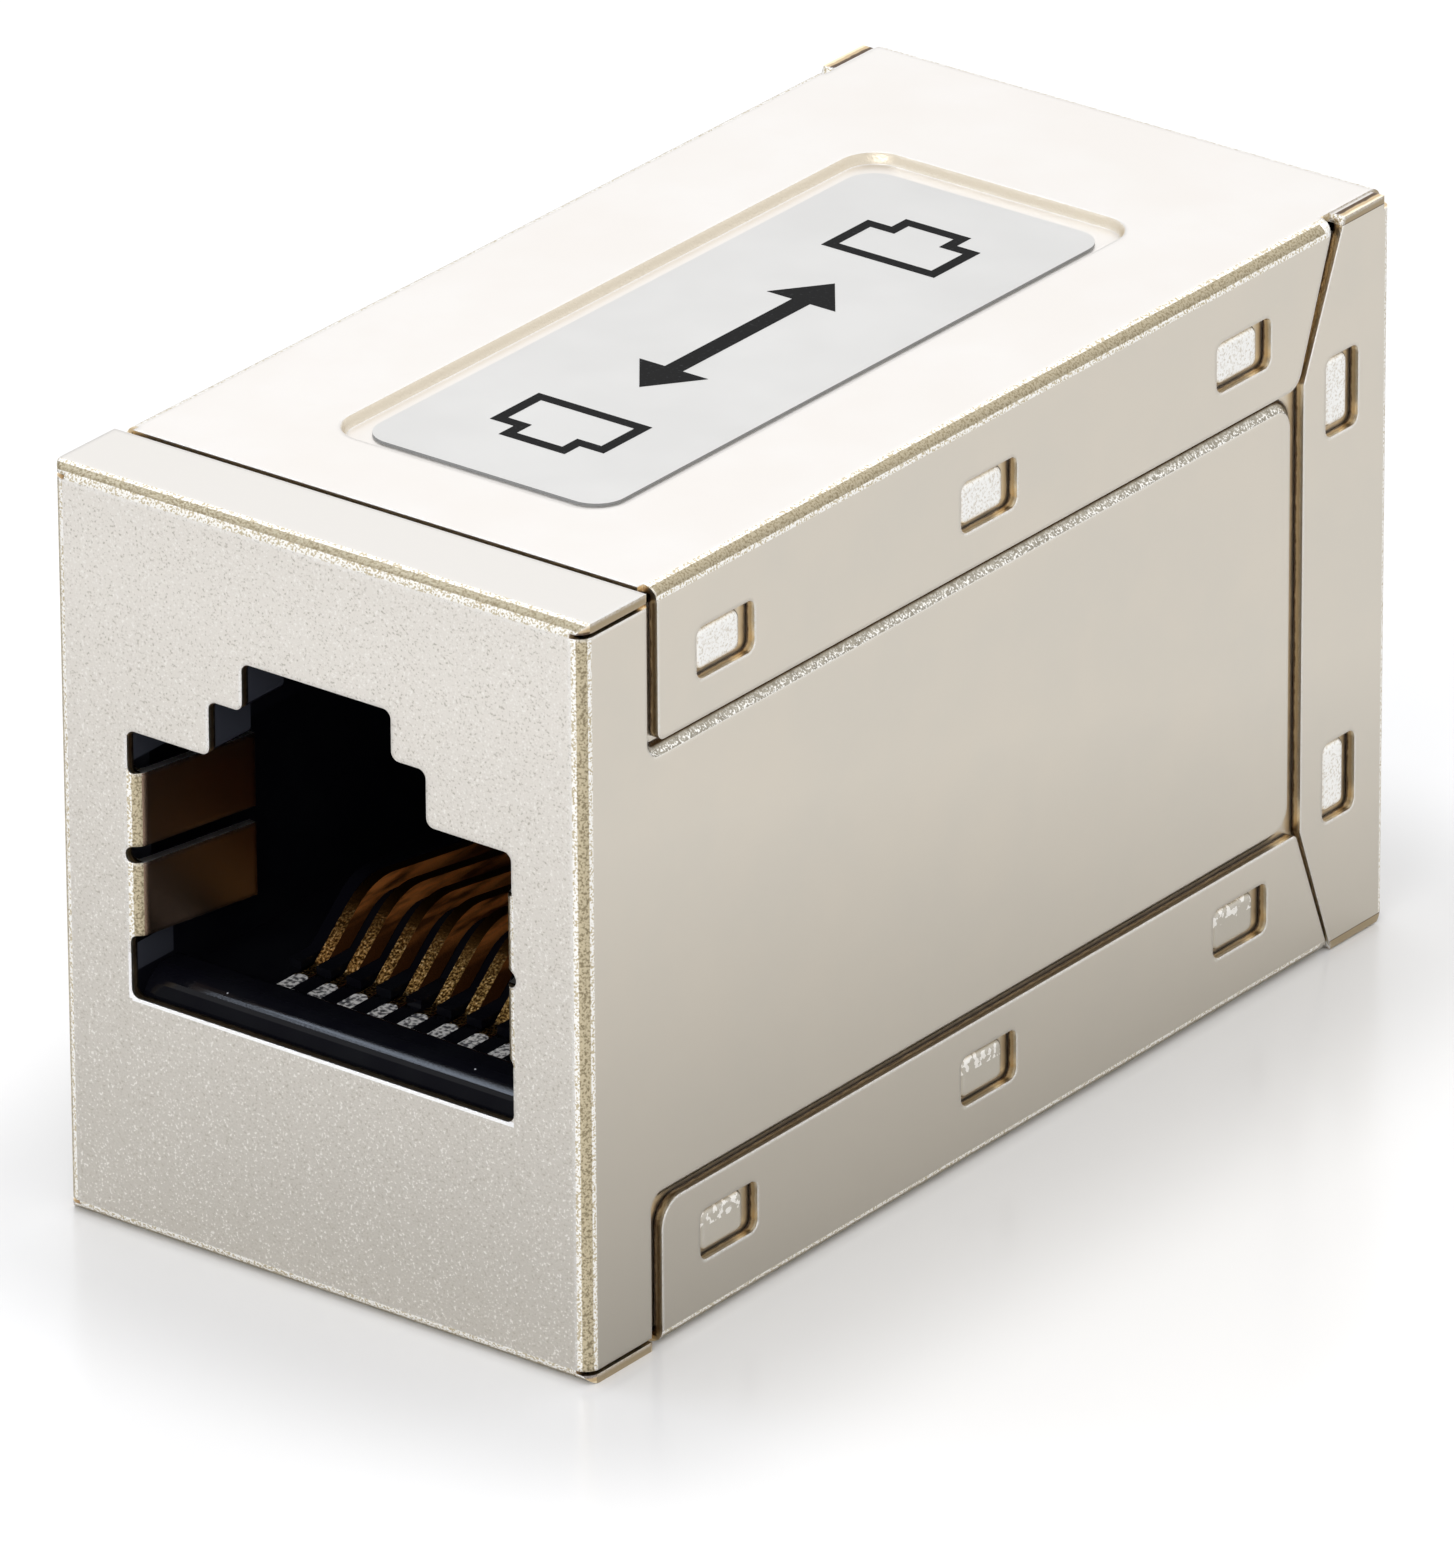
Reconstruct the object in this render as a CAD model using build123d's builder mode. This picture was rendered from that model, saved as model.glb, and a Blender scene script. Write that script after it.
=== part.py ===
from build123d import *
import os
from math import atan, degrees, radians, tan

# Shielded coupler that joins two network plugs end to end, with a jack at each end.
# X runs across, Y along the plugs with the front jack at -Y, and Z is up.
# The origin is the middle of the underside. All sizes are in millimetres.

# Overall size. The length follows from the two jacks and the circuit board between them.
body_w = 17.7
body_h = 21.9
plug_depth = 13.6  # how far a plug goes in, from the outer face
jack_wall = 2.0  # moulded wall behind the plug
tail_bay = 1.575  # from that wall to the circuit board
board_t = 1.6
body_l = 2 * (plug_depth + jack_wall + tail_bay) + board_t

# Sheet that both shells are folded from
sheet_t = 0.27
bend_r = 0.45  # outside radius of every fold
shell_play = 0.03  # between parts that slide over each other
corner_slit = 0.12  # between the lips and the ends of the side walls

# Front shell: lips, side strips and raised side panels
lip_depth = 2.7
strip_depth = 2.69
joggle_run = 0.33  # length of the slope down to the margins
panel_gap = 0.42  # from the long flaps to the raised panel
panel_rear_gap = 0.61
panel_r = 0.65
strip_root_r = 0.5

# Rear shell: plates and flaps
lip_gap = 0.2  # from the lips to the top and bottom plates
flap_set_back = 0.25  # from the plates' front edges to the flaps' front edges
upper_flap = 4.37
lower_flap = 4.15
rear_flap = 4.14
flap_lean = 1.6  # how far the rear ends of the long flaps lean back
rear_lean_top = 1.85
rear_lean_bottom = 1.5
rear_flap_r = 0.15
upper_mitre_gap = 0.26
lower_mitre_gap = 0.2
flap_end_gap = 0.05  # from the rear flaps' ends to the top and bottom surfaces
upper_flap_front_r = 0.25
upper_flap_rear_r = 0.6
lower_flap_front_r = 0.8
lower_flap_rear_r = 0.2

# Windows in the flaps and the catches that snap into them
window_w = 2.48
window_h = 1.48
window_inset = 2.52  # from the top or bottom to the middle of a window
first_window = 6.05  # from the front face to the middle of the first window
last_window = 6.92  # from the middle of the last window to the rear face
window_count = 3
window_r = 0.28
rear_window_w = 1.5
rear_window_h = 2.37
rear_window_inset = 2.35  # from the rear face to the middle of a rear window
rear_window_z = 5.18  # from the top or bottom to the middle of a rear window
catch_w = 1.75
catch_h = 1.08
rear_catch_w = 0.9
rear_catch_h = 1.9
catch_rise = 0.25
catch_slope = 0.1  # how far a catch's side walls spread
catch_clearance = 0.04  # beside the window edge that a catch bears on
catch_r = 0.3
catch_edge_r = 0.15  # where a catch's sides run into its top

# Sunk field of the top plate, and the label in it
field_left = 4.45  # from the -X side
field_right = 3.95
field_front = 5.95  # from the front face
field_rear = 6.2
field_depth = 0.27
field_run = 0.15
field_r = 1.1
label_margin_x = 0.575
label_margin_y = 0.75
label_shift_x = 0.08  # the label sits a little off the middle of its field
label_shift_y = -0.1
label_t = 0.08
label_r = 0.9

# Plug opening, the same at both ends
mouth_w = 12.86
mouth_h = 7.81
mouth_z = 7.01
step_w = 7.26
step_h = 1.6
latch_w = 4.98
latch_h = 1.4
mouth_r = 0.25

# Ground tabs at the sides of the opening
tab_h = 2.13
tab_low = 8.8
tab_slot = 0.48
tab_bend_r = 0.48
tab_root = 0.12  # from the sides of the opening out to where the tabs' bends start
tab_root_r = 0.15  # at the corners between the opening and the tabs
tab_angle = 11.5
tab_l = 3.7

# Moulded body of one jack
jack_play = 0.03
jack_edge = 0.35
mouth_wall = 1.75  # from the front face to the inside of the moulded mouth
latch_bay_w = 8.6
latch_bay_h = 3.7
latch_bay_depth = 11.0
tab_pocket = 0.7
tab_pocket_depth = 5.2
tab_pocket_spare = 0.3
rim_x = 1.05  # rims that clamp the circuit board, at the sides
rim_z = 1.2

# Contacts. Heights are those of the lower edge of the blade.
contact_count = 8
contact_pitch = 1.016
blade_t = 0.36
blade_h = 0.58
foot_start = 2.55
foot_end = 3.85
foot_z = 6.47
foot_w = 0.46
foot_t = 0.25
foot_bend_r = 0.9
rise_start = 4.53
rise_angle = 40
arch_start = 6.69
arch_r = 1.5
fall_end = 10.6
beam_z = 7.71
beam_gap = 0.7  # from the end of the level beam to the wall behind the plug
beam_r = 2.0
row_gap = 0.6  # from that wall's rear face to the level tails
row_step = 2.54  # between the two rows of tails
row_bend_r = 0.9
tail_h = 0.42
tail_beyond = 0.62  # how far the tails stand out of the circuit board

# Carrier that holds the contacts
carrier_z = 4.5
bar_front = 0.4
bar_depth = 1.87
bar_top = 7.6
bar_r = 1.0
bar_back_r = 0.45
deck_z = 7.07
floor_z = 6.42
foot_window_w = 0.54
foot_window_start = 2.3
foot_window_end = 3.92
trench_start = 4.25
tooth_z = 7.3  # top of the comb's front teeth
comb_end = 10.8
comb_play = 0.08  # beside each blade
comb_below = 0.45  # from the upper edges of the blades down to the ribs between them
cheek_t = 0.4
upright_h = 5.7
upright_w = 9.4

# Circuit board and solder
board_inset_x = 0.18  # from the jacks' sides to the board's
board_inset_z = 0.4
board_hole_r = 0.33
solder_r = 0.48
solder_tip_r = 0.31
solder_h = 0.45

# Sizes and places that follow
window_pitch = (body_l - first_window - last_window) / (window_count - 1)
field_w = body_w - field_left - field_right
field_l = body_l - field_front - field_rear
label_w = field_w - 2 * label_margin_x
label_l = field_l - 2 * label_margin_y
front_y = -body_l / 2
rear_y = body_l / 2
side_x = body_w / 2
field_x = (field_left - field_right) / 2
field_y = (field_front - field_rear) / 2
joggle = sheet_t + shell_play
fold_x = side_x - bend_r
plate_front = front_y + lip_depth + lip_gap
flap_front = plate_front + flap_set_back
rear_flap_front = rear_y - rear_flap
panel_bottom = lower_flap + panel_gap
panel_top = body_h - upper_flap - panel_gap
panel_rear = rear_flap_front - panel_rear_gap
tab_top = tab_low + 2 * tab_h + tab_slot
tab_middle = (tab_low + tab_top) / 2
beyond = 1.0  # how far a cutting shape reaches past what it cuts
front_plane = Plane.XZ.offset(-front_y)

os.makedirs("parts", exist_ok=True)


def spread(run, depth):
    """How far a slope's foot moves sideways from one face of the sheet to the other."""
    return sheet_t * tan(atan(depth / run) / 2)


def taper(run, depth):
    """Taper angle in degrees of a slope that runs sideways by run over depth."""
    return degrees(atan(run / depth))


# Middles of the windows as (y, z)
long_windows = [
    (front_y + first_window + i * window_pitch, z)
    for i in range(window_count)
    for z in (window_inset, body_h - window_inset)
]
rear_windows = [
    (rear_y - rear_window_inset, z) for z in (rear_window_z, body_h - rear_window_z)
]


def catch_place(window, w, h, own_w, own_h):
    """A catch bears on the front and upper edges of its window."""
    reach = catch_slope + catch_clearance
    return window[0] - (w - own_w) / 2 + reach, window[1] + (h - own_h) / 2 - reach


long_catches = [catch_place(w, window_w, window_h, catch_w, catch_h) for w in long_windows]
rear_catches = [
    catch_place(w, rear_window_w, rear_window_h, rear_catch_w, rear_catch_h)
    for w in rear_windows
]


def front_block(inset):
    """Blank of the front shell with rounded front folds, at a depth inside the sheet."""
    with BuildPart() as block:
        with BuildSketch(Plane.XY.offset(inset)):
            with Locations((0, front_y + inset)):
                Rectangle(body_w - 2 * inset, body_l, align=(Align.CENTER, Align.MIN))
        extrude(amount=body_h - 2 * inset)
        fillet(block.faces().sort_by(Axis.Y)[0].edges(), bend_r - inset)
    return block.part


def catches(low_x, foot):
    """Catches pressed out of a side wall whose face is at low_x. Their feet reach out by foot."""
    with BuildPart() as pressed:
        with BuildSketch(Plane.YZ.offset(low_x)):
            with Locations(long_catches):
                RectangleRounded(catch_w + 2 * foot, catch_h + 2 * foot, catch_r)
            with Locations(rear_catches):
                RectangleRounded(rear_catch_w + 2 * foot, rear_catch_h + 2 * foot, catch_r)
        extrude(amount=catch_rise, taper=taper(catch_slope, catch_rise))
        if foot:
            tops = pressed.faces().group_by(Axis.X)[-1]
            fillet(tops.edges(), catch_edge_r)
    return pressed.part


def front_form(inset):
    """Pressed form of the front shell: margins, raised T-shaped sides and catches."""
    low_x = side_x - joggle - inset
    grow = joggle_run - (spread(joggle_run, joggle) if inset else 0)
    with BuildPart() as form:
        with BuildSketch(Plane.YZ):
            with Locations((front_y, 0)):
                Rectangle(body_l, body_h, align=(Align.MIN, Align.MIN))
        extrude(amount=low_x)
        with BuildSketch(Plane.YZ.offset(low_x)) as raised:
            with Locations((front_y + strip_depth, body_h / 2)):
                Rectangle(lip_depth + beyond, body_h + 2 * beyond, align=(Align.MAX, Align.CENTER))
            with Locations((front_y, (panel_bottom + panel_top) / 2)):
                Rectangle(
                    panel_rear - front_y,
                    panel_top - panel_bottom,
                    align=(Align.MIN, Align.CENTER),
                )
            fillet(raised.vertices().group_by(Axis.X)[-1], panel_r)
            roots = [v for v in raised.vertices() if abs(v.X - front_y - strip_depth) < 0.01]
            fillet([v for v in roots if 0 < v.Y < body_h], strip_root_r)
            offset(amount=grow, kind=Kind.INTERSECTION)
        extrude(amount=joggle, taper=taper(joggle_run, joggle))
        add(catches(low_x, 0 if inset else catch_slope))
        mirror(about=Plane.YZ)
        add(front_block(inset), mode=Mode.INTERSECT)
    return form.part


def mouth_outline():
    """Stepped outline of the plug opening on the front face, let out where the tabs start."""
    with BuildSketch(front_plane) as mouth:
        with Locations((0, mouth_z)):
            Rectangle(mouth_w, mouth_h, align=(Align.CENTER, Align.MIN))
            Rectangle(step_w, mouth_h + step_h, align=(Align.CENTER, Align.MIN))
            Rectangle(latch_w, mouth_h + step_h + latch_h, align=(Align.CENTER, Align.MIN))
        fillet(mouth.vertices(), mouth_r)
        with Locations((0, tab_middle)):
            Rectangle(mouth_w + 2 * tab_root, tab_top - tab_low + 2 * tab_root_r)
    return mouth.sketch


def ground_tabs():
    """Four tabs folded in from the front face, leaning towards the plug."""
    with BuildPart() as tabs:
        with BuildSketch(Plane.XY.offset(tab_low - tab_root_r)):
            with BuildLine():
                fold = CenterArc(
                    (mouth_w / 2 + tab_root, front_y + tab_bend_r),
                    tab_bend_r,
                    270,
                    tab_angle - 90,
                )
                PolarLine(fold @ 1, tab_l, direction=fold % 1)
                offset(amount=sheet_t, side=Side.RIGHT)
            make_face()
        extrude(amount=tab_top - tab_low + 2 * tab_root_r)
        mirror(about=Plane.YZ)
        # Round-ended slot between the tabs, and the rounded corners of the opening beside them
        with BuildSketch(front_plane):
            with Locations((0, tab_middle)):
                SlotOverall(mouth_w + 2 * tab_root, tab_slot)
            with Locations((0, tab_top)):
                RectangleRounded(mouth_w, mouth_h, tab_root_r, align=(Align.CENTER, Align.MIN))
            with Locations((0, tab_low)):
                RectangleRounded(mouth_w, mouth_h, tab_root_r, align=(Align.CENTER, Align.MAX))
        extrude(amount=-tab_l - tab_bend_r - beyond, mode=Mode.SUBTRACT)
    return tabs.part


def window_outlines(places, w, h):
    """Outlines of the flap windows, beside the coupler."""
    with BuildSketch(Plane.YZ.offset(-side_x - beyond)) as windows:
        with Locations(places):
            RectangleRounded(w, h, window_r)
    return windows.sketch


def rear_block(inset, long_folds):
    """Block of the rear shell at a depth inside the sheet, with or without its long folds."""
    with BuildPart() as block:
        with BuildSketch(Plane.XY.offset(inset)):
            with Locations((0, rear_y - inset)):
                Rectangle(body_w - 2 * inset, rear_y - plate_front, align=(Align.CENTER, Align.MAX))
        extrude(amount=body_h - 2 * inset)
        rear_edges = block.faces().sort_by(Axis.Y)[-1].edges()
        long_edges = block.edges().filter_by(Axis.Y)
        folds = rear_edges + long_edges if long_folds else rear_edges.filter_by(Axis.Z)
        fillet(folds, bend_r - inset)
        grow = spread(field_run, field_depth) if inset else 0
        with BuildSketch(Plane.XY.offset(body_h - inset)):
            with Locations((field_x, field_y)):
                RectangleRounded(field_w + 2 * grow, field_l + 2 * grow, field_r + grow)
        extrude(amount=-field_depth, taper=taper(field_run, field_depth), mode=Mode.SUBTRACT)
    return block.part


def folded_sheet(long_folds):
    """Hollow form of the rear shell, open at the front."""
    with BuildPart() as sheet:
        add(rear_block(0, long_folds))
        add(rear_block(sheet_t, long_folds), mode=Mode.SUBTRACT)
    return sheet.part


def flap_outline(points, rounded):
    """Outline of one flap on the side of the coupler, with a radius at some of its corners."""
    with BuildSketch(Plane.YZ.offset(fold_x)) as outline:
        with BuildLine():
            Polyline(*points, close=True)
        make_face()
        for corner, radius in rounded:
            fillet(outline.vertices().sort_by_distance(corner)[0], radius)
    return outline.sketch


with BuildPart() as front_shell:
    add(front_form(0))
    add(front_form(sheet_t), mode=Mode.SUBTRACT)
    # The lips stop short, and the margins run on between the flaps of the rear shell.
    wall_top = body_h - sheet_t - corner_slit
    wall_bottom = sheet_t + corner_slit
    with BuildSketch(Plane.YZ.offset(-side_x - beyond)):
        with Locations((front_y + lip_depth, 0)):
            Rectangle(body_l, wall_bottom, align=(Align.MIN, Align.MIN))
        with Locations((front_y + lip_depth, body_h)):
            Rectangle(body_l, body_h - wall_top, align=(Align.MIN, Align.MAX))
        with Locations((plate_front - lip_gap / 2, 0)):
            Rectangle(body_l, bend_r + shell_play, align=(Align.MIN, Align.MIN))
        with Locations((plate_front - lip_gap / 2, body_h)):
            Rectangle(body_l, bend_r + shell_play, align=(Align.MIN, Align.MAX))
        with Locations((rear_y, 0)):
            Rectangle(bend_r + shell_play, body_h, align=(Align.MAX, Align.MIN))
    extrude(amount=body_w + 2 * beyond, mode=Mode.SUBTRACT)
    # Slits free the ends of the lips from the side walls.
    with BuildSketch(Plane.YZ.offset(fold_x)):
        with Locations((front_y - beyond, wall_top)):
            Rectangle(lip_depth + 2 * beyond, corner_slit, align=(Align.MIN, Align.MIN))
        with Locations((front_y - beyond, wall_bottom)):
            Rectangle(lip_depth + 2 * beyond, corner_slit, align=(Align.MIN, Align.MAX))
    slits = extrude(amount=bend_r + beyond, mode=Mode.SUBTRACT)
    mirror(slits, about=Plane.YZ, mode=Mode.SUBTRACT)
    extrude(mouth_outline(), amount=-sheet_t, mode=Mode.SUBTRACT)
    add(ground_tabs())
front_shell.part.label = "front_shell"
export_step(front_shell.part, "parts/front_shell.step")

# Rear shell: the plates and long flaps come from one folded form, the rear flaps from another.
long_flap_outlines = [
    flap_outline(
        [
            (flap_front, body_h),
            (flap_front, body_h - upper_flap),
            (rear_flap_front - upper_mitre_gap, body_h - upper_flap),
            (rear_flap_front - upper_mitre_gap + flap_lean, body_h),
        ],
        [
            ((flap_front, body_h - upper_flap), upper_flap_front_r),
            ((rear_flap_front - upper_mitre_gap, body_h - upper_flap), upper_flap_rear_r),
        ],
    ),
    flap_outline(
        [
            (flap_front, 0),
            (flap_front, lower_flap),
            (rear_flap_front - lower_mitre_gap, lower_flap),
            (rear_flap_front - lower_mitre_gap + flap_lean, 0),
        ],
        [
            ((flap_front, lower_flap), lower_flap_front_r),
            ((rear_flap_front - lower_mitre_gap, lower_flap), lower_flap_rear_r),
        ],
    ),
]
rear_flap_outline = flap_outline(
    [
        (rear_flap_front, lower_flap),
        (rear_flap_front, body_h - upper_flap),
        (rear_flap_front + rear_lean_top, body_h - flap_end_gap),
        (rear_y - bend_r, body_h - flap_end_gap),
        (rear_y - bend_r, body_h - bend_r),
        (rear_y, body_h - bend_r),
        (rear_y, bend_r),
        (rear_y - bend_r, flap_end_gap),
        (rear_flap_front + rear_lean_bottom, flap_end_gap),
    ],
    [
        ((rear_flap_front, lower_flap), rear_flap_r),
        ((rear_flap_front, body_h - upper_flap), rear_flap_r),
    ],
)

with BuildPart() as long_flap_space:
    with BuildSketch():
        Rectangle(2 * fold_x, body_l)
    extrude(amount=body_h)
    for outline in long_flap_outlines:
        extrude(outline, amount=bend_r)
    mirror(about=Plane.YZ)

with BuildPart() as rear_flap_space:
    extrude(rear_flap_outline, amount=bend_r)
    mirror(about=Plane.YZ)

with BuildPart() as rear_flaps:
    add(folded_sheet(long_folds=False))
    add(rear_flap_space.part, mode=Mode.INTERSECT)

with BuildPart() as rear_shell:
    add(folded_sheet(long_folds=True))
    add(long_flap_space.part, mode=Mode.INTERSECT)
    add(rear_flaps.part)
    extrude(
        window_outlines(long_windows, window_w, window_h),
        amount=body_w + 2 * beyond,
        mode=Mode.SUBTRACT,
    )
    extrude(
        window_outlines(rear_windows, rear_window_w, rear_window_h),
        amount=body_w + 2 * beyond,
        mode=Mode.SUBTRACT,
    )
    extrude(mouth_outline().rotate(Axis.Z, 180), amount=-sheet_t, mode=Mode.SUBTRACT)
    add(ground_tabs().rotate(Axis.Z, 180))
rear_shell.part.label = "rear_shell"
export_step(rear_shell.part, "parts/rear_shell.step")

# The label lies on the floor of the sunk field.
with BuildPart() as label:
    with BuildSketch(Plane.XY.offset(body_h - field_depth)):
        with Locations((field_x + label_shift_x, field_y + label_shift_y)):
            RectangleRounded(label_w, label_l, label_r)
    extrude(amount=label_t)
label.part.label = "label"
export_step(label.part, "parts/label.step")

# Moulded body of the front jack, from the front sheet to the circuit board
jack_front = front_y + sheet_t
jack_back = -board_t / 2
jack_w = 2 * (side_x - joggle - sheet_t - jack_play)
jack_bottom = sheet_t + jack_play
jack_top = body_h - sheet_t - field_depth - jack_play
jack_h = jack_top - jack_bottom
mouth_back = front_y + mouth_wall
plug_back = front_y + plug_depth
wall_back = plug_back + jack_wall

with BuildPart() as front_jack_housing:
    with BuildSketch(Plane.XZ.offset(-jack_front)):
        with Locations((0, jack_bottom)):
            Rectangle(jack_w, jack_h, align=(Align.CENTER, Align.MIN))
    extrude(amount=jack_front - jack_back)
    chamfer(front_jack_housing.faces().sort_by(Axis.Y)[0].edges(), jack_edge)
    # Stepped mouth, plug bay and the wider bay behind it for the latch
    extrude(mouth_outline(), amount=front_y - mouth_back, mode=Mode.SUBTRACT)
    with BuildSketch(front_plane):
        with Locations((0, mouth_z)):
            Rectangle(mouth_w, mouth_h, align=(Align.CENTER, Align.MIN))
    extrude(amount=front_y - plug_back, mode=Mode.SUBTRACT)
    with BuildSketch(Plane.XZ.offset(-mouth_back)):
        with Locations((0, mouth_z)):
            Rectangle(latch_bay_w, mouth_h + latch_bay_h, align=(Align.CENTER, Align.MIN))
    extrude(amount=mouth_wall - latch_bay_depth, mode=Mode.SUBTRACT)
    # Room for the ground tabs to flex
    with BuildSketch(front_plane):
        with Locations((0, tab_middle)):
            Rectangle(mouth_w + 2 * tab_pocket, tab_top - tab_low + 2 * tab_pocket_spare)
    extrude(amount=-tab_pocket_depth, mode=Mode.SUBTRACT)
    # Channel for the contact carrier, with the carrier's upright at its end
    with BuildSketch(front_plane):
        with Locations((0, carrier_z)):
            Rectangle(mouth_w, mouth_z + beyond - carrier_z, align=(Align.CENTER, Align.MIN))
    extrude(amount=front_y - plug_back, mode=Mode.SUBTRACT)
    with BuildSketch(front_plane):
        with Locations((0, carrier_z)):
            Rectangle(upright_w, upright_h, align=(Align.CENTER, Align.MIN))
    extrude(amount=front_y - wall_back, mode=Mode.SUBTRACT)
    # Bay for the soldered tails in front of the circuit board
    with BuildSketch(Plane.XZ.offset(-wall_back)):
        with Locations((0, (jack_bottom + jack_top) / 2)):
            Rectangle(jack_w - 2 * rim_x, jack_h - 2 * rim_z)
    extrude(amount=wall_back - jack_back, mode=Mode.SUBTRACT)
front_jack_housing.part.label = "front_jack_housing"
export_step(front_jack_housing.part, "parts/front_jack_housing.step")


def contact_x(number):
    """Place across the jack of a contact, counted from the -X side."""
    return (number - (contact_count + 1) / 2) * contact_pitch


def row_z(number):
    """Height of the lower edge of a contact where it meets the circuit board."""
    return beam_z + (row_step / 2 if number % 2 else -row_step / 2)


def arch_points(above):
    """Foot, rise and arch of the contacts, moved up by a height."""
    arch_z = foot_z + (arch_start - rise_start) * tan(radians(rise_angle))
    return [
        (front_y + rise_start, foot_z + above),
        (front_y + arch_start, arch_z + above),
        (front_y + fall_end, beam_z + above),
    ]


def contact(number):
    """One stamped contact: foot, rise, arch, beam and soldered tail."""
    x = contact_x(number)
    tail_z = row_z(number) + blade_h / 2
    with BuildPart() as blade:
        with BuildSketch(Plane.YZ.offset(x - blade_t / 2)):
            with BuildLine():
                FilletPolyline(
                    (front_y + foot_start, foot_z),
                    *arch_points(0),
                    (plug_back - beam_gap, beam_z),
                    (wall_back + row_gap, row_z(number)),
                    (jack_back, row_z(number)),
                    radius=[foot_bend_r, arch_r, beam_r, beam_r, row_bend_r],
                )
                offset(amount=blade_h, side=Side.LEFT)
            make_face()
            with Locations((jack_back, tail_z)):
                Rectangle(board_t + tail_beyond, tail_h, align=(Align.MIN, Align.CENTER))
        extrude(amount=blade_t)
        with BuildSketch(Plane.XY.offset(foot_z + blade_h)) as foot:
            with Locations((x, front_y + foot_start)):
                Rectangle(foot_w, foot_end - foot_start, align=(Align.CENTER, Align.MIN))
            fillet(foot.vertices().group_by(Axis.Y)[-1], 0.48 * foot_w)
        extrude(amount=-foot_t)
    return blade.part


def rib_outline(above):
    """Side view of a rib of the comb: a level tooth, then a top that follows the contacts."""
    rise_y, rise_z = arch_points(above)[0]
    with BuildSketch(Plane.YZ) as outline:
        with BuildLine():
            Polyline(
                (front_y + foot_window_end, tooth_z),
                (rise_y + (tooth_z - rise_z) / tan(radians(rise_angle)), tooth_z),
                *arch_points(above)[1:],
                (front_y + comb_end, beam_z + above),
                (front_y + comb_end, carrier_z),
                (front_y + foot_window_end, carrier_z),
                close=True,
            )
        make_face()
        fillet(outline.vertices().group_by(Axis.Y)[-1], arch_r)
    return outline.sketch


contact_numbers = range(1, contact_count + 1)
front_contacts = [contact(number) for number in contact_numbers]
for number in contact_numbers:
    front_contact = front_contacts[number - 1]
    front_contact.label = f"front_contact_{number}"
    export_step(front_contact, f"parts/front_contact_{number}.step")

slot_w = blade_t + 2 * comb_play
comb_w = (contact_count - 1) * contact_pitch + slot_w
carrier_w = mouth_w - 2 * jack_play

with BuildPart() as front_contact_carrier:
    # Slab with the round bar at the mouth
    with BuildSketch(Plane.YZ.offset(-carrier_w / 2)) as slab:
        with Locations((front_y + bar_front, carrier_z)):
            Rectangle(plug_depth - bar_front, deck_z - carrier_z, align=(Align.MIN, Align.MIN))
            Rectangle(bar_depth, bar_top - carrier_z, align=(Align.MIN, Align.MIN))
        bar_corners = slab.vertices().group_by(Axis.Y)[-1].sort_by(Axis.X)
        fillet(bar_corners[0], bar_r)
        fillet(slab.vertices().sort_by_distance(bar_corners[-1])[0], bar_back_r)
    extrude(amount=carrier_w)
    # Trench for the contacts, the cheeks at its sides and the ribs between the contacts
    with BuildSketch(Plane.XY.offset(floor_z)):
        with Locations((0, front_y + trench_start)):
            Rectangle(comb_w, plug_depth, align=(Align.CENTER, Align.MIN))
    extrude(amount=body_h, mode=Mode.SUBTRACT)
    for side in (-1, 1):
        with Locations((side * (comb_w + cheek_t) / 2, 0)):
            extrude(rib_outline(blade_h), amount=cheek_t / 2, both=True)
    for number in contact_numbers[1:]:
        with Locations((contact_x(number) - contact_pitch / 2, 0)):
            extrude(
                rib_outline(blade_h - comb_below),
                amount=(contact_pitch - slot_w) / 2,
                both=True,
            )
    # Windows round the feet, and slots on to the trench
    with BuildSketch(Plane.XY.offset(floor_z)):
        for number in contact_numbers:
            with Locations((contact_x(number), front_y + (foot_window_start + foot_window_end) / 2)):
                SlotOverall(foot_window_end - foot_window_start, foot_window_w, rotation=90)
            with Locations((contact_x(number), front_y + trench_start)):
                Rectangle(
                    slot_w,
                    trench_start - foot_window_end + foot_window_w / 2,
                    align=(Align.CENTER, Align.MAX),
                )
    extrude(amount=deck_z - floor_z, mode=Mode.SUBTRACT)
    # Upright moulded round the contacts
    with BuildSketch(Plane.XY.offset(carrier_z)):
        with Locations((0, plug_back)):
            Rectangle(
                upright_w - 2 * jack_play,
                jack_wall,
                align=(Align.CENTER, Align.MIN),
            )
    extrude(amount=upright_h - jack_play)
    add(front_contacts, mode=Mode.SUBTRACT)
front_contact_carrier.part.label = "front_contact_carrier"
export_step(front_contact_carrier.part, "parts/front_contact_carrier.step")

# Circuit board, with the tails of both jacks' contacts soldered into it
tail_places = [(contact_x(number), row_z(number) + blade_h / 2) for number in contact_numbers]

with BuildPart() as circuit_board:
    with BuildSketch(Plane.XZ.offset(-jack_back)):
        with Locations((0, (jack_bottom + jack_top) / 2)):
            Rectangle(jack_w - 2 * board_inset_x, jack_h - 2 * board_inset_z)
        for x, z in tail_places:
            with Locations((x, z), (-x, z)):
                Circle(board_hole_r, mode=Mode.SUBTRACT)
    extrude(amount=-board_t)
circuit_board.part.label = "circuit_board"
export_step(circuit_board.part, "parts/circuit_board.step")

with BuildPart() as front_solder_joints:
    for x, z in tail_places:
        with Locations(Location((x, -jack_back, z), (-90, 0, 0))):
            Cone(
                solder_r,
                solder_tip_r,
                solder_h,
                align=(Align.CENTER, Align.CENTER, Align.MIN),
            )
    add(front_contacts, mode=Mode.SUBTRACT)
front_solder_joints.part.label = "front_solder_joints"
export_step(front_solder_joints.part, "parts/front_solder_joints.step")

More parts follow.
